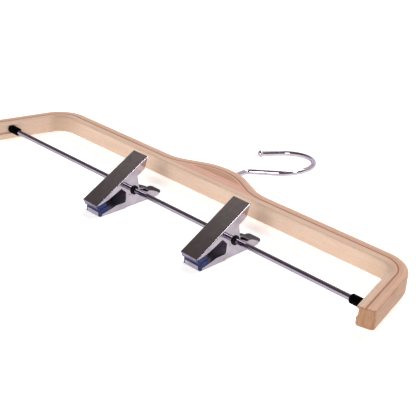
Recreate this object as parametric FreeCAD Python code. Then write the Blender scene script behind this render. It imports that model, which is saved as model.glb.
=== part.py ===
import FreeCAD, Part
import math
import os

from FreeCAD import Vector

# Trouser hanger: a bent laminated wood bow, a swivel wire hook, a sprung-in bar and two sliding spring clips.
# All sizes are in millimetres. While it is built, X runs along the bar, Y from the bar towards the hook,
# and Z up through the thickness of the wood, from zero at its lower face. Y is zero on the bar's axis.
# Each node is then moved so that the origin is where the hook bears on a rail.

# ---------- wood bow ----------
WOOD_HEIGHT = 13.4
BOW_THICKNESS = 12.0          # inner face to outer face
BEAM_OUTER_Y = 55.3           # outer face of the straight beam
ARM_INNER_X = 174.5           # inner face of an arm, level with the bar
ARM_SPLAY = 14.0              # degrees that the arms lean outwards
ARM_END_Y = -11.5             # inner edge of an arm's end
CORNER_RADIUS = 25.0          # outer face
CROWN_RISE = 15.0
CROWN_HALF_WIDTH = 50.0
CROWN_SLOPE = 27.0            # degrees, steepest part of the crown's flank
CROWN_FLANK_RADIUS = 35.0
LONG_EDGE_ROUND = 1.3
END_CORNER_ROUND = 2.4

OUTER_PLY = 3.0
SECOND_PLY = 2.6
DARK_VENEER = 1.1
MIDDLE_PLY = 1.3

GROOVE_DEPTH = 1.7
GROOVE_HALF_HEIGHT = 3.35

# ---------- hook ----------
HOOK_Z = WOOD_HEIGHT / 2
WIRE_RADIUS = 1.85
HOOK_CENTRE = Vector(7.8, 119.8, 0)
HOOK_RADIUS = 23.5            # centre line of the wire
HOOK_DIAGONAL = 30.0          # degrees from +X
HOOK_BEND_RADIUS = 5.0
CROOK_END_ANGLE = 133.4       # degrees round the hook's centre, where the wire runs out straight
RUN_OUT = 16.0
HOOK_REST_TURN = 6.0          # degrees that the hook is swivelled, its open back edge down
BALL_RADIUS = 2.6
SHANK_FOOT_Y = 48.2
THREAD_START_Y = 49.4
THREAD_TOP_Y = 66.0
THREAD_PITCH = 2.0
THREAD_CREST_RADIUS = 2.2
THREAD_ROOT_RADIUS = 1.75
HOOK_HOLE_RADIUS = 2.28
HOLE_END_GAP = 0.3
SHANK_CLEARANCE = 0.06

# ---------- bar ----------
BAR_Z = 8.2
BAR_RADIUS = 1.9
BAR_HALF_LENGTH = 173.0
BAR_END_CHAMFER = 0.3
CAP_RADIUS = 3.1
CAP_START_X = 165.6
CAP_TIP_ROUND = 1.4
CAP_SEAT_DEPTH = 2.3          # how far a cap enters the arm
SEAT_CLEARANCE = 0.08

# ---------- clips ----------
CLIPS = {"left": -33.4, "right": 65.0}
SHEET = 0.7
JAW_WIDTH = 15.2
PLATE_TILT = 28.2             # degrees, handle end up
PLATE_DISTANCE = 13.95        # bar axis to the upper jaw's outer face
PLATE_FRONT = 31.0            # from the foot of that distance
PLATE_REAR = 21.2
FOLD_RADIUS = 0.9
UPPER_LIP = 4.0
UPPER_LIP_MARGIN = 1.5        # from a side of the jaw to the lip's end
EAR_RADIUS = 4.6
LOWER_BASE_Z = -12.0          # outer face of the lower jaw's base
LOWER_FRONT_Y = -31.0
LOWER_REAR_Y = 27.4
LOWER_STEP_Y = -8.2           # where the lower jaw narrows to nest inside the upper one
LOWER_SIDE_Z = -7.2           # upper edge of the lower jaw's sides beside the step
TONGUE_START_Y = 18.5
TONGUE_RISE = 2.3
TONGUE_CORNER_RADIUS = 3.0
LOWER_LIP = 3.4
LOWER_LIP_MARGIN = 1.7
NEST_GAP = 0.15               # between the upper jaw's sides and the lower jaw's
BUSH_BORE_CLEARANCE = 0.07
BUSH_RADIUS = 2.6
BUSH_FLANGE_RADIUS = 3.3
BUSH_FLANGE = 0.8
BUSH_RIM_ROUND = 0.3
BUSH_END_PLAY = 0.1           # between the upper jaw's sides and the bush's flanges
EAR_CLEARANCE = 0.06
PAD_LENGTH = 7.8
PAD_SIDE_GAP = 0.15           # from a side of the jaw to the pad's end
LOWER_PAD_FRONT = 31.2        # along the mouth, from the bar
UPPER_PAD_FRONT = 32.6
MOUTH_ANGLE = 11.8            # degrees that the closed mouth lies below level, seen from the bar
MOUTH_GAP = 0.3
PAD_TEETH = 4
PAD_TOOTH_HEIGHT = 0.105
SPRING_WIRE = 0.6             # radius
SPRING_RADIUS = 3.6
SPRING_INNER_X = 2.2          # where a coil starts, from the clip's middle
SPRING_TURNS = 2.5
SPRING_PITCH = 1.3
SPRING_HEAD_REACH = 13.5      # along the upper plate, where a coil's end presses it
BRIDGE_Y = 21.2               # where the spring presses the lower lever
SPRING_REST_GAP = 0.1         # between the spring and the sheet that it presses


def on_circle(centre, radius, degrees):
    angle = math.radians(degrees)
    return centre + Vector(radius * math.cos(angle), radius * math.sin(angle), 0)


def arc(centre, radius, start, end):
    middle = on_circle(centre, radius, (start + end) / 2)
    return Part.Arc(on_circle(centre, radius, start), middle, on_circle(centre, radius, end)).toShape()


def line(start, end):
    return Part.LineSegment(start, end).toShape()


def mirrored(shape):
    return shape.mirror(Vector(0, 0, 0), Vector(1, 0, 0))


def largest(shape):
    return max(shape.Solids, key=lambda solid: solid.Volume)


def corner_centre():
    splay = math.radians(ARM_SPLAY)
    y = BEAM_OUTER_Y - CORNER_RADIUS
    inner_radius = CORNER_RADIUS - BOW_THICKNESS
    return Vector(ARM_INNER_X - (inner_radius + y * math.sin(splay)) / math.cos(splay), y, 0)


def crown_arcs():
    """Radius of the crown's top arc, its centre, and the centre of the flank arc on the right."""
    slope = math.radians(CROWN_SLOPE)
    # rise = sum (1 - cos) + straight sin, half width = sum sin + straight cos
    total = (CROWN_RISE * math.cos(slope) - CROWN_HALF_WIDTH * math.sin(slope)) / (math.cos(slope) - 1)
    top_radius = total - CROWN_FLANK_RADIUS
    top_centre = Vector(0, BEAM_OUTER_Y + CROWN_RISE - top_radius, 0)
    flank_centre = Vector(CROWN_HALF_WIDTH, BEAM_OUTER_Y + CROWN_FLANK_RADIUS, 0)
    return top_radius, top_centre, flank_centre


def veneer_line(depth, crowned):
    """Edges from the middle of the beam to the right arm's end, the given depth inside the outer face."""
    corner = corner_centre()
    beam_y = BEAM_OUTER_Y - depth
    splay = math.radians(ARM_SPLAY)
    along_arm = Vector(math.sin(splay), -math.cos(splay), 0)
    if crowned:
        top_radius, top_centre, flank_centre = crown_arcs()
        top = arc(top_centre, top_radius - depth, 90, 90 - CROWN_SLOPE)
        flank = arc(flank_centre, CROWN_FLANK_RADIUS + depth, 270 - CROWN_SLOPE, 270)
        edges = [top, line(top.Vertexes[1].Point, flank.Vertexes[0].Point), flank]
        beam_start = flank.Vertexes[1].Point
    else:
        edges = []
        beam_start = Vector(0, beam_y, 0)
    bend = arc(corner, CORNER_RADIUS - depth, 90, ARM_SPLAY)
    arm_top = bend.Vertexes[1].Point
    inner_arm_top = on_circle(corner, CORNER_RADIUS - BOW_THICKNESS, ARM_SPLAY)
    arm_length = (inner_arm_top.y - ARM_END_Y) / math.cos(splay)
    arm = line(arm_top, arm_top + along_arm * arm_length)
    edges += [line(beam_start, Vector(corner.x, beam_y, 0)), bend, arm]
    return edges


def band(outer_depth, inner_depth, outer_crowned=True, inner_crowned=True):
    """One layer of the bow at full height, both halves."""
    outer = veneer_line(outer_depth, outer_crowned)
    inner = veneer_line(inner_depth, inner_crowned)
    end = line(outer[-1].Vertexes[1].Point, inner[-1].Vertexes[1].Point)
    right = outer + [end] + inner
    left = [mirrored(edge) for edge in right]
    wire = Part.Wire(Part.__sortEdges__(right + left))
    return Part.Face(wire).extrude(Vector(0, 0, WOOD_HEIGHT))


def arm_frame(side):
    """Point on the arm's inner face level with the bar, and the directions into the arm and down it."""
    splay = math.radians(ARM_SPLAY)
    point = Vector(side * ARM_INNER_X, 0, BAR_Z)
    into = Vector(side * math.cos(splay), math.sin(splay), 0)
    down = Vector(side * math.sin(splay), -math.cos(splay), 0)
    return point, into, down


def cap_groove(side):
    """Groove that a bar cap slides up when the bar is sprung in, ending in a round seat."""
    point, into, down = arm_frame(side)
    half = GROOVE_HALF_HEIGHT
    start = point - into * 5 - Vector(0, 0, half)
    corners = [start, start + into * (5 + GROOVE_DEPTH)]
    corners += [corners[1] + down * 40, corners[0] + down * 40]
    channel = Part.Face(Part.makePolygon(corners + corners[:1])).extrude(Vector(0, 0, 2 * half))
    seat_end = ARM_INNER_X + CAP_SEAT_DEPTH + SEAT_CLEARANCE
    seat = Part.makeCylinder(half, 12, Vector(side * (seat_end - 12), 0, BAR_Z), Vector(side, 0, 0))
    return channel.fuse(seat)


def bow():
    """The whole glued bow as one piece, rounded, grooved and drilled."""
    blank = band(0, BOW_THICKNESS, True, False)
    upright = [e for e in blank.Edges if abs(e.BoundBox.ZLength - WOOD_HEIGHT) < 0.01]
    ends = [e for e in upright if e.BoundBox.YMin < 0]
    blank = blank.makeFillet(END_CORNER_ROUND, ends)
    long_edges = [e for e in blank.Edges if e.BoundBox.ZLength < 0.01]
    blank = blank.makeFillet(LONG_EDGE_ROUND, long_edges)
    for side in (-1, 1):
        blank = blank.cut(cap_groove(side))
    foot = Vector(0, SHANK_FOOT_Y - HOLE_END_GAP, HOOK_Z)
    up = Vector(0, 1, 0)
    thread_hole = Part.makeCylinder(HOOK_HOLE_RADIUS, THREAD_TOP_Y + HOLE_END_GAP - foot.y, foot, up)
    shank_hole = Part.makeCylinder(WIRE_RADIUS + SHANK_CLEARANCE, BEAM_OUTER_Y, foot, up)
    return blank.cut(thread_hole).cut(shank_hole)


def wood_nodes():
    whole = bow()
    second = OUTER_PLY
    dark = second + SECOND_PLY
    middle = dark + DARK_VENEER
    inner = middle + MIDDLE_PLY
    layers = {
        "outer_ply": band(0, second),
        "second_ply": band(second, dark),
        "dark_veneer": band(dark, middle),
        "middle_ply": band(middle, inner),
        "inner_ply": band(inner, BOW_THICKNESS, False, False),
    }
    nodes = {name: whole.common(layer) for name, layer in layers.items()}
    wedge = band(inner, BOW_THICKNESS, True, False).cut(layers["inner_ply"])
    nodes["crown_filler"] = largest(whole.common(wedge))
    return nodes


def turned_hook(shape):
    return shape.rotate(Vector(0, 0, HOOK_Z), Vector(0, 1, 0), -HOOK_REST_TURN)


def hook_tip():
    """End of the wire, where the ball sits, and the wire's direction there."""
    end = math.radians(CROOK_END_ANGLE)
    way = Vector(-math.sin(end), math.cos(end), 0)
    return on_circle(HOOK_CENTRE, HOOK_RADIUS, CROOK_END_ANGLE) + way * RUN_OUT, way


def hook_path():
    """Centre line of the wire, from the top of the thread to the ball."""
    slant = math.radians(HOOK_DIAGONAL)
    reach = (HOOK_RADIUS + HOOK_CENTRE.x * math.sin(slant)) / math.cos(slant)
    corner = Vector(0, HOOK_CENTRE.y - reach, 0)
    tangent = HOOK_BEND_RADIUS * math.tan((math.pi / 2 - slant) / 2)
    bend_start = corner - Vector(0, tangent, 0)
    bend_centre = bend_start + Vector(HOOK_BEND_RADIUS, 0, 0)
    bend = arc(bend_centre, HOOK_BEND_RADIUS, 180, 90 + HOOK_DIAGONAL)
    crook = arc(HOOK_CENTRE, HOOK_RADIUS, HOOK_DIAGONAL - 90, CROOK_END_ANGLE)
    run_out = line(crook.Vertexes[1].Point, hook_tip()[0])
    diagonal = line(bend.Vertexes[1].Point, crook.Vertexes[0].Point)
    shank = line(Vector(0, THREAD_TOP_Y, 0), bend_start)
    return Part.Wire([shank, bend, diagonal, crook, run_out])


def hook_thread():
    """Screw thread at the foot of the shank, drawn as plain rings."""
    points = [Vector(0, SHANK_FOOT_Y, 0), Vector(WIRE_RADIUS / 2, SHANK_FOOT_Y, 0)]
    y = THREAD_START_Y
    while y + THREAD_PITCH < THREAD_TOP_Y:
        points.append(Vector(THREAD_ROOT_RADIUS, y, 0))
        points.append(Vector(THREAD_CREST_RADIUS, y + THREAD_PITCH / 2, 0))
        y += THREAD_PITCH
    points += [Vector(WIRE_RADIUS, y, 0), Vector(WIRE_RADIUS, THREAD_TOP_Y, 0), Vector(0, THREAD_TOP_Y, 0)]
    face = Part.Face(Part.makePolygon(points + points[:1]))
    return face.revolve(Vector(0, 0, 0), Vector(0, 1, 0), 360)


def hook_nodes():
    path = hook_path()
    section = Part.Wire(Part.makeCircle(WIRE_RADIUS, Vector(0, THREAD_TOP_Y, 0), Vector(0, 1, 0)))
    wire = path.makePipeShell([section], True, True)
    wire = wire.fuse(hook_thread()).removeSplitter()
    tip, way = hook_tip()
    ball = Part.makeSphere(BALL_RADIUS, tip, way).cut(wire)
    lift = Vector(0, 0, HOOK_Z)
    wire.translate(lift)
    ball.translate(lift)
    return {"hook_wire": turned_hook(wire), "hook_ball_tip": turned_hook(ball)}


def bar_nodes():
    bar_end = Vector(-BAR_HALF_LENGTH, 0, BAR_Z)
    bar = Part.makeCylinder(BAR_RADIUS, 2 * BAR_HALF_LENGTH, bar_end, Vector(1, 0, 0))
    bar = bar.makeChamfer(BAR_END_CHAMFER, [e for e in bar.Edges if e.Closed and e.BoundBox.XLength < 0.01])
    length = ARM_INNER_X + CAP_SEAT_DEPTH - CAP_START_X
    cap = Part.makeCylinder(CAP_RADIUS, length, Vector(CAP_START_X, 0, BAR_Z), Vector(1, 0, 0))
    rims = [e for e in cap.Edges if e.Closed and e.BoundBox.XLength < 0.01]
    cap = cap.makeFillet(CAP_TIP_ROUND, rims).cut(bar)
    return {"trouser_bar": bar, "bar_cap_right": cap, "bar_cap_left": mirrored(cap)}


def from_plate(along, below):
    """Side view point of the upper jaw, given along its plate from the bar and below its outer face."""
    tilt = math.radians(PLATE_TILT)
    height = PLATE_DISTANCE - below
    return Vector(0, along * math.cos(tilt) - height * math.sin(tilt),
                  along * math.sin(tilt) + height * math.cos(tilt))


def side_slab(points, low_x, high_x):
    """A side view outline, in Y and Z about the bar, as a slab from low_x to high_x."""
    outline = Part.makePolygon(points + points[:1])
    slab = Part.Face(outline).extrude(Vector(high_x - low_x, 0, 0))
    slab.translate(Vector(low_x, 0, 0))
    return slab


def both_sides(slab):
    return slab.fuse(mirrored(slab))


def ear_hole():
    radius = BUSH_RADIUS + EAR_CLEARANCE
    return Part.makeCylinder(radius, 2 * JAW_WIDTH, Vector(-JAW_WIDTH, 0, 0), Vector(1, 0, 0))


def upper_jaw():
    half = JAW_WIDTH / 2
    plate = side_slab([from_plate(-PLATE_FRONT, 0), from_plate(PLATE_REAR, 0),
                       from_plate(PLATE_REAR, SHEET), from_plate(-PLATE_FRONT, SHEET)], -half, half)
    lip = side_slab([from_plate(-PLATE_FRONT, 0), from_plate(-PLATE_FRONT, UPPER_LIP),
                     from_plate(-PLATE_FRONT + SHEET, UPPER_LIP), from_plate(-PLATE_FRONT + SHEET, 0)],
                    UPPER_LIP_MARGIN - half, half - UPPER_LIP_MARGIN)
    outline = [from_plate(-PLATE_FRONT + 1.2, 0), from_plate(-PLATE_FRONT + 1.2, 1.2),
               from_plate(-20.9, 3.6), from_plate(-8.3, 4.6), from_plate(-6.3, 10.9),
               from_plate(-EAR_RADIUS, PLATE_DISTANCE), from_plate(0, PLATE_DISTANCE),
               from_plate(EAR_RADIUS, PLATE_DISTANCE), from_plate(5.6, 11.8), from_plate(7.2, 6.6),
               from_plate(14.6, 6.6), from_plate(PLATE_REAR, 0)]
    flange = side_slab(outline, half - SHEET, half)
    round_end = Part.makeCylinder(EAR_RADIUS, SHEET, Vector(half - SHEET, 0, 0), Vector(1, 0, 0))
    flange = flange.fuse(round_end)
    jaw = plate.fuse([lip, both_sides(flange)]).removeSplitter()
    folds = [e for e in jaw.Edges if abs(e.BoundBox.XMin) > half - 0.01 and e.BoundBox.XLength < 0.01
             and e.Length > 40]
    return jaw.makeFillet(FOLD_RADIUS * 0.7, folds).cut(ear_hole())


def lower_jaw():
    half = JAW_WIDTH / 2
    inner_half = half - SHEET - NEST_GAP
    base = LOWER_BASE_Z
    step_y = LOWER_STEP_Y
    side_top = LOWER_SIDE_Z
    top_y = step_y + 1.0
    front_base = Part.makeBox(JAW_WIDTH, step_y - LOWER_FRONT_Y, SHEET, Vector(-half, LOWER_FRONT_Y, base))
    rear_base = side_slab([Vector(0, step_y, base), Vector(0, TONGUE_START_Y, base),
                           Vector(0, LOWER_REAR_Y, base + TONGUE_RISE),
                           Vector(0, LOWER_REAR_Y, base + TONGUE_RISE + SHEET),
                           Vector(0, TONGUE_START_Y, base + SHEET), Vector(0, step_y, base + SHEET)],
                          -inner_half, inner_half)
    plan = Part.makeBox(2 * inner_half, LOWER_REAR_Y - step_y, 10, Vector(-inner_half, step_y, base - 1))
    tail = [e for e in plan.Edges if e.BoundBox.ZLength > 9 and e.BoundBox.YMin > 0]
    rear_base = rear_base.common(plan.makeFillet(TONGUE_CORNER_RADIUS, tail))
    lip_start = Vector(LOWER_LIP_MARGIN - half, LOWER_FRONT_Y, base)
    lip = Part.makeBox(JAW_WIDTH - 2 * LOWER_LIP_MARGIN, SHEET, LOWER_LIP, lip_start)
    front_side = side_slab([Vector(0, LOWER_FRONT_Y + 2.0, base), Vector(0, LOWER_FRONT_Y + 2.0, base + 1.9),
                            Vector(0, -20.5, -8.4), Vector(0, -16.3, side_top), Vector(0, step_y, side_top),
                            Vector(0, step_y, base)], half - SHEET, half)
    joggle = Part.makeBox(half - inner_half + SHEET, SHEET, side_top - base,
                          Vector(inner_half - SHEET, step_y - SHEET, base))
    rear_side = side_slab([Vector(0, step_y - SHEET, base), Vector(0, step_y - SHEET, side_top),
                           Vector(0, top_y, side_top), Vector(0, -6.4, -0.4), Vector(0, -EAR_RADIUS, 1.2),
                           Vector(0, -2.6, 3.8), Vector(0, 2.0, 4.2), Vector(0, EAR_RADIUS, 1.6),
                           Vector(0, 5.6, -1.8), Vector(0, 12.6, -5.6), Vector(0, 15.3, -5.2),
                           Vector(0, 18.8, -6.4), Vector(0, 23.0, -8.6), Vector(0, 23.8, -9.4),
                           Vector(0, 23.8, base + TONGUE_RISE / 2), Vector(0, TONGUE_START_Y, base)],
                          inner_half - SHEET, inner_half)
    sides = both_sides(front_side.fuse([joggle, rear_side]))
    jaw = front_base.fuse([rear_base, lip, sides]).removeSplitter()
    long_folds = [e for e in jaw.Edges if e.BoundBox.ZMax < base + 0.01 and e.BoundBox.XLength < 0.01
                  and e.Length > 10]
    lip_fold = [e for e in jaw.Edges if e.BoundBox.ZMax < base + 0.01 and e.Length > 10
                and e.BoundBox.YMax < LOWER_FRONT_Y + 0.01]
    return jaw.makeFillet(0.5, long_folds + lip_fold).cut(ear_hole())


def mouth_point(distance, offset):
    """Point on the line of the closed mouth, seen from the side, moved up by offset."""
    angle = math.radians(MOUTH_ANGLE)
    return Vector(0, -distance * math.cos(angle), -distance * math.sin(angle) + offset)


def toothed(front, rear, offset):
    """Ridged face of a pad along the mouth: points from the front to the rear."""
    pitch = (rear - front) / PAD_TEETH
    groove = math.copysign(abs(offset) + PAD_TOOTH_HEIGHT, offset)
    points = []
    for index in range(PAD_TEETH):
        start = front + pitch * index
        points.append(mouth_point(start, offset))
        points.append(mouth_point(start + pitch / 2, groove))
    points.append(mouth_point(rear, offset))
    return points


def lower_pad(jaw):
    half = JAW_WIDTH / 2 - PAD_SIDE_GAP
    top = toothed(LOWER_PAD_FRONT, LOWER_PAD_FRONT - PAD_LENGTH, -MOUTH_GAP / 2)
    floor_z = LOWER_BASE_Z + SHEET / 2
    outline = [Vector(0, top[0].y, floor_z)] + top + [Vector(0, top[-1].y, floor_z)]
    return side_slab(outline, -half, half).cut(jaw)


def upper_pad(jaw):
    half = JAW_WIDTH / 2 - PAD_SIDE_GAP
    bottom = toothed(UPPER_PAD_FRONT, UPPER_PAD_FRONT - PAD_LENGTH, MOUTH_GAP / 2)
    outline = bottom + [from_plate(-PLATE_FRONT + PAD_LENGTH + 0.4, SHEET / 2),
                        from_plate(-PLATE_FRONT + 0.2, SHEET / 2)]
    return side_slab(outline, -half, half).cut(jaw)


def pivot_bush():
    half = JAW_WIDTH / 2
    axis = Vector(1, 0, 0)
    start = half + BUSH_END_PLAY
    sleeve = Part.makeCylinder(BUSH_RADIUS, 2 * start, Vector(-start, 0, 0), axis)
    for side in (-1, 1):
        flange = Part.makeCylinder(BUSH_FLANGE_RADIUS, BUSH_FLANGE, Vector(side * start, 0, 0), axis * side)
        rim = [e for e in flange.Edges if e.Closed and abs(abs(e.BoundBox.XMin) - start - BUSH_FLANGE) < 0.01]
        sleeve = sleeve.fuse(flange.makeFillet(BUSH_RIM_ROUND, rim))
    bore = Part.makeCylinder(BAR_RADIUS + BUSH_BORE_CLEARANCE, 4 * half, Vector(-2 * half, 0, 0), axis)
    return sleeve.removeSplitter().cut(bore)


def rod(start, end):
    way = end - start
    return Part.makeCylinder(SPRING_WIRE, way.Length, start, way)


def spring_coil():
    """Right coil of the double spring, wound round the bush from its inner end to its outer end."""
    helix = Part.makeHelix(SPRING_PITCH, SPRING_PITCH * SPRING_TURNS, SPRING_RADIUS)
    section = Part.Wire(Part.makeCircle(SPRING_WIRE, Vector(SPRING_RADIUS, 0, 0), Vector(0, 1, 0)))
    coil = Part.Wire(helix.Edges).makePipeShell([section], True, True)
    coil.rotate(Vector(0, 0, 0), Vector(0, 1, 0), 90)
    return coil


def torsion_spring():
    """Two coils joined by a bridge that presses the lower lever, with ends that press the upper lever."""
    coil = spring_coil()
    coil.translate(Vector(SPRING_INNER_X, 0, 0))
    outer_x = SPRING_INNER_X + SPRING_PITCH * SPRING_TURNS
    # The helix starts below the bar and, with a half turn over whole turns, ends above it.
    # Half a turn about the bar puts its inner end above the bar and its outer end below.
    coil.rotate(Vector(0, 0, 0), Vector(1, 0, 0), 180)
    head = Vector(SPRING_INNER_X, 0, SPRING_RADIUS)
    tip = from_plate(SPRING_HEAD_REACH, SHEET + SPRING_WIRE + SPRING_REST_GAP) + Vector(SPRING_INNER_X, 0, 0)
    foot = Vector(outer_x, 0, -SPRING_RADIUS)
    rise = TONGUE_RISE * (BRIDGE_Y - TONGUE_START_Y) / (LOWER_REAR_Y - TONGUE_START_Y)
    bridge_side = Vector(outer_x, BRIDGE_Y, LOWER_BASE_Z + rise + SHEET + SPRING_WIRE + SPRING_REST_GAP)
    bridge_middle = Vector(0, bridge_side.y, bridge_side.z)
    knuckle = Part.makeSphere(SPRING_WIRE, bridge_side)
    half = coil.fuse([rod(foot, bridge_side), knuckle, rod(bridge_side, bridge_middle), rod(head, tip)])
    return half.fuse(mirrored(half))


def clip_nodes(side, centre_x):
    upper = upper_jaw()
    lower = lower_jaw()
    nodes = {
        "upper_jaw": upper,
        "lower_jaw": lower,
        "upper_pad": largest(upper_pad(upper)),
        "lower_pad": largest(lower_pad(lower)),
        "pivot_bush": pivot_bush(),
        "torsion_spring": torsion_spring(),
    }
    for shape in nodes.values():
        shape.translate(Vector(centre_x, 0, BAR_Z))
    return {name + "_" + side: shape for name, shape in nodes.items()}


def rail_point():
    """Where the hook bears on a rail: inside the crook, on the shank's axis."""
    inside = HOOK_RADIUS - WIRE_RADIUS
    rise = math.sqrt(inside ** 2 - HOOK_CENTRE.x ** 2)
    return Vector(0, HOOK_CENTRE.y + rise, HOOK_Z)


def main():
    os.makedirs("parts", exist_ok=True)
    nodes = {}
    nodes.update(wood_nodes())
    nodes.update(hook_nodes())
    nodes.update(bar_nodes())
    for side, centre_x in CLIPS.items():
        nodes.update(clip_nodes(side, centre_x))
    for name, shape in nodes.items():
        shape.translate(rail_point() * -1)
        shape.exportStep("parts/" + name + ".step")
        box = shape.BoundBox
        print(f"{name:24s} solids {len(shape.Solids)} valid {shape.isValid()} volume {shape.Volume:9.1f}")
        print(f"    x {box.XMin:7.1f} {box.XMax:7.1f}  y {box.YMin:7.1f} {box.YMax:7.1f}"
              f"  z {box.ZMin:6.1f} {box.ZMax:6.1f}")
    print("rail point in building coordinates", rail_point())


main()
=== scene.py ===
import math

import bmesh
import bpy
from mathutils import Euler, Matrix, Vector


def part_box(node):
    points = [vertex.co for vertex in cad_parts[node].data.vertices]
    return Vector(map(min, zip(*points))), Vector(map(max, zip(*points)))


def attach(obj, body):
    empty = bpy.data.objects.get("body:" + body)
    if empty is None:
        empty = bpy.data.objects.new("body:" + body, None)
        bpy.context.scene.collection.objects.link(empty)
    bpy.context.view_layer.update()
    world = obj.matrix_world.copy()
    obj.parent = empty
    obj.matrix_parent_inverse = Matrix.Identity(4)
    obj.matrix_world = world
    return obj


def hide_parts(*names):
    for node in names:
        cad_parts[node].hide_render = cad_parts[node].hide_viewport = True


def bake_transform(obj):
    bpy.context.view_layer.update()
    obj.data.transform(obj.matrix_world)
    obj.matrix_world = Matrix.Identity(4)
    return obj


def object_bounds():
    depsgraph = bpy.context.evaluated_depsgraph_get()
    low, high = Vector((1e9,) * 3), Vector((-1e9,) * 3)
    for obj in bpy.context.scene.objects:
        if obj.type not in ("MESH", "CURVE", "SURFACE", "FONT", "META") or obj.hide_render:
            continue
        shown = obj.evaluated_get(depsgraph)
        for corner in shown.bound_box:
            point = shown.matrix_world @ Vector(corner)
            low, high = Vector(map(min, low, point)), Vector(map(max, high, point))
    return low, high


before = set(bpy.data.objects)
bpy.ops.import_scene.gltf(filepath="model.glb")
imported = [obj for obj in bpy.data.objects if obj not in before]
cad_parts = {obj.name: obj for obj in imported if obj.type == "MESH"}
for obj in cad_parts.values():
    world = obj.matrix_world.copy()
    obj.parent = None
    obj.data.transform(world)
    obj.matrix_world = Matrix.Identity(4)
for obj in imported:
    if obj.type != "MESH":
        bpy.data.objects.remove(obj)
cad_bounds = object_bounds()

# A trouser hanger lying on a white table: looks only, in metres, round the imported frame.

MM = 0.001
SIDES = ("left", "right")

# ---------- places read from the frame ----------
bar_low, bar_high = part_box("trouser_bar")
BAR_Y = (bar_low.y + bar_high.y) / 2
BAR_Z = (bar_low.z + bar_high.z) / 2
FLOOR_Z = cad_bounds[0].z
FLOOR_GAP = 0.02 * MM
FLOOR_REACH = 4.0

# ---------- camera, from the middle of the bar ----------
CAMERA_FROM_BAR = Vector((0.43813, -0.40445, 0.28627))
CAMERA_ANGLES = (64.087, -2.542, 45.274)
CAMERA_LENS = 83.3055

# ---------- the bow's shape, for grain that follows it ----------
CROWN_RISE = 15.0 * MM
CROWN_HALF_WIDTH = 50.0 * MM
CROWN_SLOPE = math.radians(27)
CROWN_FLANK_RADIUS = 35.0 * MM
CORNER_RADIUS = 25.0 * MM
BOW_THICKNESS = 12.0 * MM
ARM_SPLAY = math.radians(14)
ARM_INNER_X = 174.5 * MM
BEAM_OUTER_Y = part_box("outer_ply")[1].y - CROWN_RISE
CORNER_Y = BEAM_OUTER_Y - CORNER_RADIUS
INNER_CORNER = CORNER_RADIUS - BOW_THICKNESS
CORNER_X = ARM_INNER_X - (INNER_CORNER + (CORNER_Y - BAR_Y) * math.sin(ARM_SPLAY)) / math.cos(ARM_SPLAY)
CORNER_TURN = math.pi / 2 - ARM_SPLAY
ARM_END_Y = BAR_Y - 11.5 * MM
END_ROUND = 2.4 * MM
ARM_LENGTH = (CORNER_Y + INNER_CORNER * math.sin(ARM_SPLAY) - ARM_END_Y) / math.cos(ARM_SPLAY)

# ---------- clip sheets, from the bar's axis ----------
JAW_HALF_WIDTH = 7.6 * MM
PLATE_TILT = math.radians(28.2)
PLATE_DISTANCE = 13.95 * MM
PLATE_FRONT = 31.0 * MM
LOWER_FRONT_Y = -31.0 * MM
LOWER_BASE_Z = -12.0 * MM
LOWER_STEP_Y = -8.2 * MM
NESTED_INSET = 0.85 * MM
INSIDE_START = 0.25 * MM      # depth in the sheet where its outer look ends
INSIDE_FULL = 0.45 * MM       # and where the painted shade and rougher finish of its inside are reached
TONGUE_START_Y = 18.5 * MM
TONGUE_SLOPE = 2.3 / 8.9

# ---------- springs ----------
SPRING_WIRE = 0.6 * MM
SPRING_RADIUS = 3.6 * MM
SPRING_TURNS = 2.5
SPRING_INNER_X = 2.2 * MM
SPRING_PITCH = 1.3 * MM
BRIDGE_Y = 21.2 * MM
BRIDGE_Z = -9.8 * MM
HEAD_TIP = (5.97 * MM, 17.4 * MM)
COIL_STEPS = 96
LEG_PARTS = (1.0, 0.8, 0.6, 0.4, 0.2, 0.1)
HEAD_PARTS = (0.1, 0.3, 0.5, 0.7, 0.9, 1.0)


# ---------- shader arithmetic ----------
class Value:
    """A number in a shader tree. Arithmetic on it adds Math nodes."""

    def __init__(self, tree, socket):
        self.tree = tree
        self.socket = socket

    def apply(self, operation, *others):
        node = self.tree.nodes.new("ShaderNodeMath")
        node.operation = operation
        for socket, value in zip(node.inputs, (self, *others)):
            if isinstance(value, Value):
                self.tree.links.new(value.socket, socket)
            else:
                socket.default_value = value
        return Value(self.tree, node.outputs[0])

    def __add__(self, other):
        return self.apply("ADD", other)

    def __sub__(self, other):
        return self.apply("SUBTRACT", other)

    def __mul__(self, other):
        return self.apply("MULTIPLY", other)

    def __truediv__(self, other):
        return self.apply("DIVIDE", other)

    def clamped(self, low, high):
        return self.apply("MAXIMUM", low).apply("MINIMUM", high)

    def ramped(self, low, high, to_low=0.0, to_high=1.0):
        """Maps low..high to to_low..to_high with soft ends, clamped."""
        node = self.tree.nodes.new("ShaderNodeMapRange")
        node.interpolation_type = "SMOOTHSTEP"
        self.tree.links.new(self.socket, node.inputs["Value"])
        for name, value in (("From Min", low), ("From Max", high), ("To Min", to_low), ("To Max", to_high)):
            node.inputs[name].default_value = value
        return Value(self.tree, node.outputs["Result"])


def vector(tree, *parts):
    node = tree.nodes.new("ShaderNodeCombineXYZ")
    for socket, part in zip(node.inputs, parts):
        tree.links.new(part.socket, socket)
    return node.outputs[0]


def object_place(tree):
    """The object's own x, y and z, in metres."""
    place = tree.nodes.new("ShaderNodeTexCoord")
    split = tree.nodes.new("ShaderNodeSeparateXYZ")
    tree.links.new(place.outputs["Object"], split.inputs[0])
    return [Value(tree, socket) for socket in split.outputs]


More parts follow.
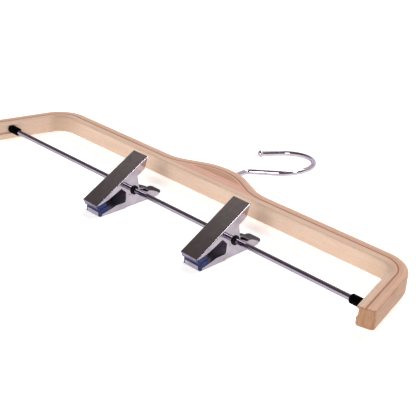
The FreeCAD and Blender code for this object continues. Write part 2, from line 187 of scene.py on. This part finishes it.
def noise(tree, place, size, detail=3.0, roughness=0.55, distortion=0.0):
    """Noise whose features are about the given size, in the place vector's units."""
    node = tree.nodes.new("ShaderNodeTexNoise")
    tree.links.new(place, node.inputs["Vector"])
    node.inputs["Scale"].default_value = 1 / size
    node.inputs["Detail"].default_value = detail
    node.inputs["Roughness"].default_value = roughness
    node.inputs["Distortion"].default_value = distortion
    return Value(tree, node.outputs[0])


def mixed(tree, factor, low, high):
    """A colour between low and high, each a colour or a colour socket."""
    node = tree.nodes.new("ShaderNodeMix")
    node.data_type = "RGBA"
    tree.links.new(factor.socket, node.inputs[0])
    for socket, value in ((node.inputs[6], low), (node.inputs[7], high)):
        if isinstance(value, tuple):
            socket.default_value = (*value, 1)
        else:
            tree.links.new(value, socket)
    return node.outputs[2]


def bumped(tree, height, distance, strength=1.0, below=None):
    node = tree.nodes.new("ShaderNodeBump")
    node.inputs["Distance"].default_value = distance
    node.inputs["Strength"].default_value = strength
    tree.links.new(height.socket, node.inputs["Height"])
    if below is not None:
        tree.links.new(below, node.inputs["Normal"])
    return node.outputs[0]


def new_material(name, **settings):
    """A material with its shader tree and its Principled shader, whose even values are set by socket name."""
    material = bpy.data.materials.new(name)
    material.use_nodes = True
    tree = material.node_tree
    shader = tree.nodes["Principled BSDF"]
    for key, value in settings.items():
        shader.inputs[key.replace("_", " ")].default_value = value
    return material, tree, shader


# ---------- wood ----------
BEECH = (0.83, 0.53, 0.375)
BEECH_DARK = (0.71, 0.42, 0.28)
BEECH_FLECK = (0.44, 0.23, 0.14)
# Deeper colours for the painted shade on the outer face of the bow.
BEECH_SIDE_SHADE = (0.44, 0.225, 0.13)
BEECH_SIDE_SHADE_PALE = (0.60, 0.34, 0.21)
SAWN = (0.34, 0.17, 0.085)
SAWN_LIGHT = (0.46, 0.25, 0.14)
# Colour of the painted shade in the bend of the bow.
BEND_SHADE_TONE = (0.30, 0.18, 0.10)


# Per node: material, light, dark and fleck colours, whether it follows the crown, where its grain starts in
# metres, and how dark the painted shade in its bend gets.
WOOD_LAYERS = {
    "outer_ply": ("beech_outer", BEECH, BEECH_DARK, BEECH_FLECK, True, 0.0, 0.0),
    "second_ply": ("beech_second", (0.76, 0.49, 0.36), (0.64, 0.385, 0.265), BEECH_FLECK, True, 0.4, 0.0),
    "dark_veneer": ("red_veneer", (0.46, 0.19, 0.12), (0.34, 0.13, 0.08), (0.2, 0.07, 0.045), True, 0.8, 0.0),
    "middle_ply": ("beech_middle", BEECH, BEECH_DARK, BEECH_FLECK, True, 1.2, 0.0),
    "inner_ply": ("beech_inner", (0.82, 0.615, 0.48), (0.75, 0.52, 0.385), BEECH_FLECK, False, 1.6, 0.35),
    "crown_filler": ("filler", (0.82, 0.47, 0.36), (0.70, 0.37, 0.27), (0.42, 0.19, 0.13), False, 2.0, 0.0),
}


def crown_rise(x):
    """Height of the crowned line above the straight beam at x, and the cosine of its slope."""
    slope_sin, slope_cos = math.sin(CROWN_SLOPE), math.cos(CROWN_SLOPE)
    both_radii = (CROWN_RISE * slope_cos - CROWN_HALF_WIDTH * slope_sin) / (slope_cos - 1)
    top_radius = both_radii - CROWN_FLANK_RADIUS
    top_end = top_radius * slope_sin
    flank_end = CROWN_HALF_WIDTH - CROWN_FLANK_RADIUS * slope_sin
    on_top = x.apply("MINIMUM", top_end)
    on_slope = x.clamped(top_end, flank_end)
    on_flank = (x * -1 + CROWN_HALF_WIDTH).clamped(0.0, CROWN_HALF_WIDTH - flank_end)
    top = (on_top * on_top * -1 + top_radius**2).apply("SQRT") - top_radius * slope_cos
    straight = (on_slope * -1 + flank_end) * (slope_sin / slope_cos)
    flank = (on_flank * on_flank * -1 + CROWN_FLANK_RADIUS**2).apply("SQRT") * -1 + CROWN_FLANK_RADIUS
    lean = (x / top_radius).apply("MINIMUM", slope_sin).apply("MINIMUM", on_flank / CROWN_FLANK_RADIUS)
    return top + straight + flank, (lean * lean * -1 + 1).apply("SQRT")


def bow_place(tree, crowned):
    """Distance along the bow, depth inside its outer face, height, and distance down the arm, in metres."""
    x, y, height = object_place(tree)
    side = x.apply("SIGN")
    x = x.apply("ABSOLUTE")
    across = x - CORNER_X
    up = y - CORNER_Y
    down_arm = across * math.sin(ARM_SPLAY) - up * math.cos(ARM_SPLAY)
    from_arm = across * math.cos(ARM_SPLAY) + up * math.sin(ARM_SPLAY)
    outward = across.apply("MAXIMUM", 0.0)
    round_reach = (outward * outward + up * up).apply("SQRT")
    in_arm = down_arm.apply("GREATER_THAN", 0.0)
    reach = round_reach + (from_arm - round_reach) * in_arm
    depth = reach * -1 + CORNER_RADIUS
    turn = across.apply("ARCTAN2", up).clamped(0.0, CORNER_TURN)
    middle_radius = CORNER_RADIUS - BOW_THICKNESS / 2
    along = x.apply("MINIMUM", CORNER_X) + turn * middle_radius + down_arm.apply("MAXIMUM", 0.0)
    if crowned:
        rise, cosine = crown_rise(x)
        depth = (depth + rise) * cosine
    return along * side, depth, height, down_arm


def wood(name, light, dark, fleck, crowned, offset, bend_shade):
    """Lacquered beech whose fibres run along the bow, thinly lacquered and darkened by painted shade on its
    outer face, with painted shade in the bend as bend_shade asks.
    """
    material, tree, shader = new_material(name, Coat_Roughness=0.16, Coat_IOR=1.5, Specular_IOR_Level=0.08)
    along, depth, height, down_arm = bow_place(tree, crowned)
    along = along + offset
    fibre_place = vector(tree, along * 0.035, depth, height * 0.8)
    fibres = noise(tree, fibre_place, 0.42 * MM, detail=4.0, roughness=0.65)
    bands = noise(tree, vector(tree, along * 0.05, depth * 1.2, height), 2.6 * MM, detail=2.0, distortion=0.6)
    clouds = noise(tree, vector(tree, along * 0.3, depth, height), 14 * MM, detail=1.0)
    fleck_noise = noise(tree, vector(tree, along * 0.11, depth * 0.7, height), 0.26 * MM, detail=1.0)
    flecks = fleck_noise.ramped(0.60, 0.72)
    grain = fibres * 0.45 + bands * 0.35 + clouds * 0.2
    colour = mixed(tree, grain.ramped(0.34, 0.66), light, dark)
    colour = mixed(tree, flecks * 0.4, colour, fleck)
    # Painted shade: the outer face, turned away from the light, gets its grain in deeper, darker colours.
    outer_face_shade = mixed(tree, fibres.ramped(0.35, 0.65), BEECH_SIDE_SHADE_PALE, BEECH_SIDE_SHADE)
    past_outer = (depth * -1 + END_ROUND).apply("MAXIMUM", 0.0)
    past_inner = (depth - (BOW_THICKNESS - END_ROUND)).apply("MAXIMUM", 0.0)
    past_end = (down_arm - (ARM_LENGTH - END_ROUND)).apply("MAXIMUM", 0.0)
    outer_reach = (past_outer * past_outer + past_end * past_end).apply("SQRT")
    past_side = past_outer + past_inner
    end_reach = (past_side * past_side + past_end * past_end).apply("SQRT")
    outer_skin = outer_reach * -1 + END_ROUND
    colour = mixed(tree, outer_skin.ramped(0.05 * MM, 0.6 * MM, 0.8, 0.0), colour, outer_face_shade)
    stripes = noise(tree, vector(tree, height * 0.08, depth, along * 0.1), 0.45 * MM, detail=2.0)
    sawn_end = mixed(tree, stripes.ramped(0.4, 0.6), SAWN, SAWN_LIGHT)
    # Painted shade: round the corner where the bow turns into the arm, the colour is darkened by bend_shade,
    # for the shade that falls in the bend.
    painted_bend_shade = down_arm.ramped(-18 * MM, -8 * MM, 0.0, bend_shade) * down_arm.ramped(-4 * MM, 6 * MM, 1.0, 0.2)
    colour = mixed(tree, painted_bend_shade, colour, BEND_SHADE_TONE)
    end_skin = end_reach.ramped(END_ROUND - 1.0 * MM, END_ROUND - 0.1 * MM)
    end_grain = end_skin * (past_end / end_reach).ramped(0.25, 0.75) * 0.85
    colour = mixed(tree, end_grain, colour, sawn_end)
    tree.links.new(colour, shader.inputs["Base Color"])
    tree.links.new((fibres * 0.22 + 0.3).socket, shader.inputs["Roughness"])
    tree.links.new(depth.ramped(0.05 * MM, 0.6 * MM, 0.12, 0.45).socket, shader.inputs["Coat Weight"])
    relief = bumped(tree, fibres, 0.03 * MM, 0.6)
    tree.links.new(bumped(tree, flecks, -0.03 * MM, 0.5, relief), shader.inputs["Normal"])
    return material


# ---------- metal, rubber and vinyl ----------
SHEET_COLOUR = (0.44, 0.40, 0.45)
# Colour of the painted shade inside the jaws.
SHEET_INSIDE_SHADE = (0.29, 0.27, 0.32)


def upper_inside(x, y, z, centre_x):
    """Mask of the painted shade and rougher finish: one inside the upper jaw, zero on its outer faces."""
    across = (x - centre_x).apply("ABSOLUTE")
    from_bar = (z - BAR_Z) * math.cos(PLATE_TILT) - (y - BAR_Y) * math.sin(PLATE_TILT)
    along = (y - BAR_Y) * math.cos(PLATE_TILT) + (z - BAR_Z) * math.sin(PLATE_TILT)
    between = across.ramped(JAW_HALF_WIDTH - INSIDE_FULL, JAW_HALF_WIDTH - INSIDE_START, 1.0, 0.0)
    behind_lip = along.ramped(INSIDE_START - PLATE_FRONT, INSIDE_FULL - PLATE_FRONT)
    under_plate = from_bar.ramped(PLATE_DISTANCE - INSIDE_FULL, PLATE_DISTANCE - INSIDE_START, 1.0, 0.0)
    return between * behind_lip * under_plate


def lower_inside(x, y, z, centre_x):
    """Mask of the painted shade and rougher finish: one inside the lower jaw and on top of its thumb lever,
    zero on its outer faces.
    """
    narrower = (y - (BAR_Y + LOWER_STEP_Y)).apply("GREATER_THAN", 0.0) * NESTED_INSET
    across = (x - centre_x).apply("ABSOLUTE") + narrower
    between = across.ramped(JAW_HALF_WIDTH - INSIDE_FULL, JAW_HALF_WIDTH - INSIDE_START, 1.0, 0.0)
    rise = (y - (BAR_Y + TONGUE_START_Y)).apply("MAXIMUM", 0.0) * TONGUE_SLOPE
    above = z - rise - (BAR_Z + LOWER_BASE_Z)
    behind_lip = (y - (BAR_Y + LOWER_FRONT_Y)).ramped(INSIDE_START, INSIDE_FULL)
    return between * behind_lip * above.ramped(INSIDE_START, INSIDE_FULL)


def plated(name, colour, roughness, stretch=(1.0, 1.0, 1.0), ripple=0.012, inside=None, centre_x=0.0):
    """Bright nickel plate with faint clouding, hairline scratches and a slight orange peel, rougher inside
    and darkened there by painted shade.
    """
    material, tree, shader = new_material(name, Metallic=1.0, Specular_Tint=(0.52, 0.48, 0.56, 1))
    x, y, z = object_place(tree)
    place = vector(tree, x * stretch[0], y * stretch[1], z * stretch[2])
    even = vector(tree, x, y, z)
    clouds = noise(tree, even, 5 * MM, detail=3.0)
    hairs = noise(tree, place, 0.16 * MM, detail=2.0, roughness=0.7)
    peel = noise(tree, even, 1.1 * MM, detail=2.0)
    duller = tuple(0.86 * c for c in colour)
    plate = mixed(tree, clouds.ramped(0.35, 0.7), colour, duller)
    rough = clouds * 0.05 + hairs * 0.04 + (roughness - 0.045)
    if inside:
        # Painted shade: inside the jaws the sheet is darkened towards SHEET_INSIDE_SHADE, for the shade in
        # the clip's hollow, and it is also made rougher.
        inside_shade_and_roughness = inside(x, y, z, centre_x)
        plate = mixed(tree, inside_shade_and_roughness, plate, SHEET_INSIDE_SHADE)
        rough = rough + inside_shade_and_roughness * 0.2
    tree.links.new(plate, shader.inputs["Base Color"])
    tree.links.new(rough.socket, shader.inputs["Roughness"])
    relief = bumped(tree, peel, ripple * MM, 0.5)
    tree.links.new(bumped(tree, hairs, 0.003 * MM, 0.35, relief), shader.inputs["Normal"])
    return material


def moulded(name, colour, worn, roughness, grain=0.3 * MM, coat=0.0, gloss=0.5):
    """Rubber, nylon or vinyl with a fine moulded grain and paler scuffs."""
    material, tree, shader = new_material(
        name, Coat_Weight=coat, Coat_Roughness=0.08, Specular_IOR_Level=gloss
    )
    even = vector(tree, *object_place(tree))
    fine = noise(tree, even, grain, detail=3.0)
    scuffs = noise(tree, even, 3 * MM, detail=4.0, roughness=0.7)
    tree.links.new(mixed(tree, scuffs.ramped(0.45, 0.75), colour, worn), shader.inputs["Base Color"])
    tree.links.new((fine * 0.12 + scuffs * 0.1 + (roughness - 0.11)).socket, shader.inputs["Roughness"])
    tree.links.new(bumped(tree, fine, 0.03 * MM, 0.5), shader.inputs["Normal"])
    return material


# ---------- meshes ----------
def mesh_object(name, form):
    """Makes an object from a bmesh, smooth shaded."""
    bmesh.ops.recalc_face_normals(form, faces=form.faces)
    mesh = bpy.data.meshes.new(name)
    form.to_mesh(mesh)
    form.free()
    mesh.shade_smooth()
    thing = bpy.data.objects.new(name, mesh)
    bpy.context.scene.collection.objects.link(thing)
    return thing


def tube(name, points, radius, sides=14):
    """A round wire along the points, closed by domed ends."""
    points = [Vector(p) for p in points]
    ways = [(b - a).normalized() for a, b in zip(points, points[1:])]
    ways = [ways[0]] + [(a + b).normalized() for a, b in zip(ways, ways[1:])] + [ways[-1]]
    normal = ways[0].orthogonal().normalized()
    form = bmesh.new()
    rings = []

    def add_ring(centre, way, size):
        across = way.cross(normal).normalized()
        ring = []
        for index in range(sides):
            angle = 2 * math.pi * index / sides
            ring.append(form.verts.new(centre + (normal * math.cos(angle) + across * math.sin(angle)) * size))
        rings.append(ring)

    dome = [(math.sin(a), math.cos(a)) for a in (math.radians(15), math.radians(45), math.radians(70))]
    for out, back in dome:
        add_ring(points[0] - ways[0] * radius * back, ways[0], radius * out)
    for point, way in zip(points, ways):
        normal = (normal - way * normal.dot(way)).normalized()
        add_ring(point, way, radius)
    for out, back in reversed(dome):
        add_ring(points[-1] + ways[-1] * radius * back, ways[-1], radius * out)
    for ring, following in zip(rings, rings[1:]):
        for index in range(sides):
            ahead = (index + 1) % sides
            form.faces.new((ring[index], ring[ahead], following[ahead], following[index]))
    form.faces.new(rings[0])
    form.faces.new(rings[-1])
    return mesh_object(name, form)


def turned(name, centre_y, centre_z, profile, sides=64):
    """A turned piece round a line along X. The profile is (x, radius) from one end to the other."""
    form = bmesh.new()
    rings = []
    for x, radius in profile:
        ring = []
        for index in range(sides):
            angle = 2 * math.pi * index / sides
            place = (x, centre_y + radius * math.cos(angle), centre_z + radius * math.sin(angle))
            ring.append(form.verts.new(place))
        rings.append(ring)
    for ring, following in zip(rings, rings[1:]):
        for index in range(sides):
            ahead = (index + 1) % sides
            form.faces.new((ring[index], ring[ahead], following[ahead], following[index]))
    form.faces.new(rings[0])
    form.faces.new(rings[-1])
    return mesh_object(name, form)


def softened(name, node, voxel, rounds):
    """A soft moulded form: the node's shape with its edges rounded off."""
    thing = bpy.data.objects.new(name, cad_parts[node].data.copy())
    bpy.context.scene.collection.objects.link(thing)
    remesh = thing.modifiers.new("remesh", "REMESH")
    remesh.mode = "VOXEL"
    remesh.voxel_size = voxel
    smooth = thing.modifiers.new("smooth", "SMOOTH")
    smooth.iterations = rounds
    smooth.factor = 0.5
    final = bpy.data.meshes.new_from_object(thing.evaluated_get(bpy.context.evaluated_depsgraph_get()))
    thing.modifiers.clear()
    thing.data = final
    final.materials.clear()
    final.shade_smooth()
    return thing


def finished(thing, material, body, slot, *replaced):
    thing.data.materials.append(material)
    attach(thing, body)
    if replaced:
        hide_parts(*replaced)
    return thing


# ---------- camera, light and floor ----------
def add_camera():
    data = bpy.data.cameras.new("camera")
    data.lens = CAMERA_LENS
    data.sensor_width = 36.0
    data.clip_start, data.clip_end = 0.01, 50.0
    camera = bpy.data.objects.new("camera", data)
    camera.location = Vector((0, BAR_Y, BAR_Z)) + CAMERA_FROM_BAR
    camera.rotation_euler = Euler([math.radians(angle) for angle in CAMERA_ANGLES])
    bpy.context.scene.collection.objects.link(camera)
    bpy.context.scene.camera = camera


def add_softbox(name, azimuth, elevation, distance, width, height, power, diffuse=True):
    """An area light that faces the middle of the bow. Azimuth runs from +X towards +Y."""
    middle = (cad_bounds[0] + cad_bounds[1]) / 2
    turn, rise = math.radians(azimuth), math.radians(elevation)
    way = Vector((math.cos(rise) * math.cos(turn), math.cos(rise) * math.sin(turn), math.sin(rise)))
    data = bpy.data.lights.new(name, "AREA")
    data.shape = "RECTANGLE"
    data.size, data.size_y = width, height
    data.energy = power
    light = bpy.data.objects.new(name, data)
    light.visible_diffuse = diffuse
    light.location = middle + way * distance
    light.rotation_euler = way.to_track_quat("Z", "Y").to_euler()
    bpy.context.scene.collection.objects.link(light)


WALL = (1.25, 1.25, 1.25)
RIGHT_WALL = (0.4, 0.4, 0.4)
CEILING = (0.11, 0.097, 0.083)
CEILING_STRIP = (0.38, 0.34, 0.305)
CEILING_BACK = (0.75, 0.68, 0.68)


def add_world():
    """A white room, grey on the right. Its ceiling is dark, with a paler strip across it and a pale back."""
    world = bpy.data.worlds.new("studio")
    world.use_nodes = True
    tree = world.node_tree
    place = tree.nodes.new("ShaderNodeTexCoord")
    split = tree.nodes.new("ShaderNodeSeparateXYZ")
    tree.links.new(place.outputs["Generated"], split.inputs[0])
    rightward, backward, upward = [Value(tree, socket) for socket in split.outputs]
    strip = backward.ramped(-0.09, 0.06) - backward.ramped(0.1, 0.24)
    ceiling = mixed(tree, strip, CEILING, CEILING_STRIP)
    ceiling = mixed(tree, backward.ramped(0.42, 0.64), ceiling, CEILING_BACK)
    walls = mixed(tree, rightward.ramped(-0.1, 0.6), WALL, RIGHT_WALL)
    colour = mixed(tree, upward.ramped(0.22, 0.36), walls, ceiling)
    tree.links.new(colour, tree.nodes["Background"].inputs["Color"])
    bpy.context.scene.world = world


def add_floor():
    """A white table that glows softly, as a light table does."""
    form = bmesh.new()
    bmesh.ops.create_grid(form, x_segments=8, y_segments=8, size=FLOOR_REACH)
    bmesh.ops.translate(form, verts=form.verts, vec=(0, 0, FLOOR_Z - FLOOR_GAP))
    floor = mesh_object("floor", form)
    material, tree, shader = new_material(
        "table", Base_Color=(0.9, 0.9, 0.9, 1), Roughness=0.8,
        Emission_Color=(1, 1, 1, 1), Emission_Strength=0.55
    )
    floor.data.materials.append(material)


# ---------- pieces ----------
def spring_line(middle, sign, outer_x):
    """Centre line of half a spring: along its leg from the bridge, round the coil and out along its head."""
    points = []
    for part in LEG_PARTS:
        height = -SPRING_RADIUS + (BRIDGE_Z + SPRING_RADIUS) * part
        points.append(middle + Vector((sign * outer_x, BRIDGE_Y * part, height)))
    for step in range(COIL_STEPS + 1):
        angle = math.radians(-90) - 2 * math.pi * SPRING_TURNS * step / COIL_STEPS
        x = outer_x + (SPRING_INNER_X - outer_x) * step / COIL_STEPS
        place = (sign * x, SPRING_RADIUS * math.cos(angle), SPRING_RADIUS * math.sin(angle))
        points.append(middle + Vector(place))
    for part in HEAD_PARTS:
        height = SPRING_RADIUS + (HEAD_TIP[1] - SPRING_RADIUS) * part
        points.append(middle + Vector((sign * SPRING_INNER_X, HEAD_TIP[0] * part, height)))
    return points


def spring_pieces(side, steel):
    """Two coils joined by a bridge that presses the lower lever. The real coils wind up as the clip opens;
    these are built once and stay as they are, and only the bridge goes with the lower jaw.
    """
    bush_low, bush_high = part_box("pivot_bush_" + side)
    middle = Vector(((bush_low.x + bush_high.x) / 2, BAR_Y, BAR_Z))
    outer_x = SPRING_INNER_X + SPRING_PITCH * SPRING_TURNS
    for hand, sign in (("inner", -1), ("outer", 1)):
        coil = tube(f"spring_coil_{hand}_{side}", spring_line(middle, sign, outer_x), SPRING_WIRE)
        coil.data.materials.append(steel)
        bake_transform(coil)
    ends = [middle + Vector((sign * outer_x, BRIDGE_Y, BRIDGE_Z)) for sign in (-1, 1)]
    across = [ends[0].lerp(ends[1], part / 8) for part in range(9)]
    bridge = tube("spring_bridge_" + side, across, SPRING_WIRE)
    finished(bridge, steel, f"clip_{side}_lower", "spring_wire", "torsion_spring_" + side)


def quarter_turn(steps=6):
    """Sines and cosines of even steps round a quarter turn."""
    angles = [math.radians(90 * step / steps) for step in range(steps + 1)]
    return [(math.sin(angle), math.cos(angle)) for angle in angles]


def cap_piece(side, rubber):
    """Rubber cap over the bar's end, with a rolled mouth, a shallow ring and a rounded, seated end."""
    low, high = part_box("bar_cap_" + side)
    out = 1 if side == "right" else -1
    mouth_x, tip_x = (low.x, high.x) if side == "right" else (high.x, low.x)
    radius = (high.z - low.z) / 2
    bore = (bar_high.z - bar_low.z) / 2
    length = abs(tip_x - mouth_x)
    lip = 0.9 * MM
    profile = [(0.0, bore)]
    for sine, cosine in quarter_turn():
        profile.append((lip - lip * cosine, radius - lip + lip * sine))
    ring_depth = 0.12 * MM
    profile += [(2.2 * MM, radius), (2.5 * MM, radius - ring_depth), (2.9 * MM, radius - ring_depth),
                (3.2 * MM, radius), (length * 0.6, radius)]
    end_round = 1.4 * MM
    for sine, cosine in quarter_turn():
        profile.append((length - end_round + end_round * sine, radius - end_round + end_round * cosine))
    profile.append((length, 0.2 * MM))
    cap = turned("rubber_cap_" + side, BAR_Y, BAR_Z, [(mouth_x + out * x, r) for x, r in profile])
    finished(cap, rubber, "bow", "black_rubber", "bar_cap_" + side)


def pad_piece(node, vinyl, body):
    pad = softened("vinyl_" + node, node, voxel=0.16 * MM, rounds=5)
    finished(pad, vinyl, body, "blue_vinyl", node)


def paint(node, material):
    node_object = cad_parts[node]
    node_object.data.materials.clear()
    node_object.data.materials.append(material)


add_camera()
add_world()
add_softbox("key", azimuth=-73, elevation=30, distance=1.5, width=0.4, height=0.35, power=8.5)
add_softbox("top_back", azimuth=95, elevation=62, distance=1.5, width=0.9, height=0.6, power=10.5)
add_softbox("edge_light", azimuth=4, elevation=45, distance=1.4, width=0.25, height=0.5, power=5,
            diffuse=False)    # shows in reflections and lights nothing else
add_floor()

for node, layer in WOOD_LAYERS.items():
    paint(node, wood(*layer))

rod = plated("nickel_rod", (0.38, 0.34, 0.42), 0.09, stretch=(0.05, 1.0, 1.0), ripple=0.004)
wire = plated("nickel_wire", (0.58, 0.53, 0.61), 0.09, stretch=(0.4, 0.4, 1.0))
steel = plated("spring_steel", (0.56, 0.56, 0.58), 0.38, stretch=(1.0, 0.2, 0.2))
rubber = moulded("black_rubber", (0.0012, 0.001, 0.0012), (0.003, 0.003, 0.003), 0.6, gloss=0.01)
nylon = moulded("black_nylon", (0.002, 0.002, 0.0025), (0.006, 0.006, 0.006), 0.4, gloss=0.12)
vinyl = moulded("blue_vinyl", (0.010, 0.015, 0.10), (0.03, 0.045, 0.24), 0.3,
                grain=0.6 * MM, coat=0.1, gloss=0.2)

paint("hook_wire", wire)
paint("hook_ball_tip", wire)
paint("trouser_bar", rod)
for side in SIDES:
    jaw_low, jaw_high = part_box("upper_jaw_" + side)
    for part, inside in (("upper_jaw_", upper_inside), ("lower_jaw_", lower_inside)):
        sheet = plated("nickel_" + part + side, SHEET_COLOUR, 0.09, stretch=(1.0, 0.06, 0.06),
                       ripple=0.006, inside=inside, centre_x=(jaw_low.x + jaw_high.x) / 2)
        paint(part + side, sheet)
    paint("pivot_bush_" + side, nylon)
    pad_piece("upper_pad_" + side, vinyl, f"clip_{side}_upper")
    pad_piece("lower_pad_" + side, vinyl, f"clip_{side}_lower")
    cap_piece(side, rubber)
    spring_pieces(side, steel)

bpy.context.scene.view_settings.view_transform = "Standard"
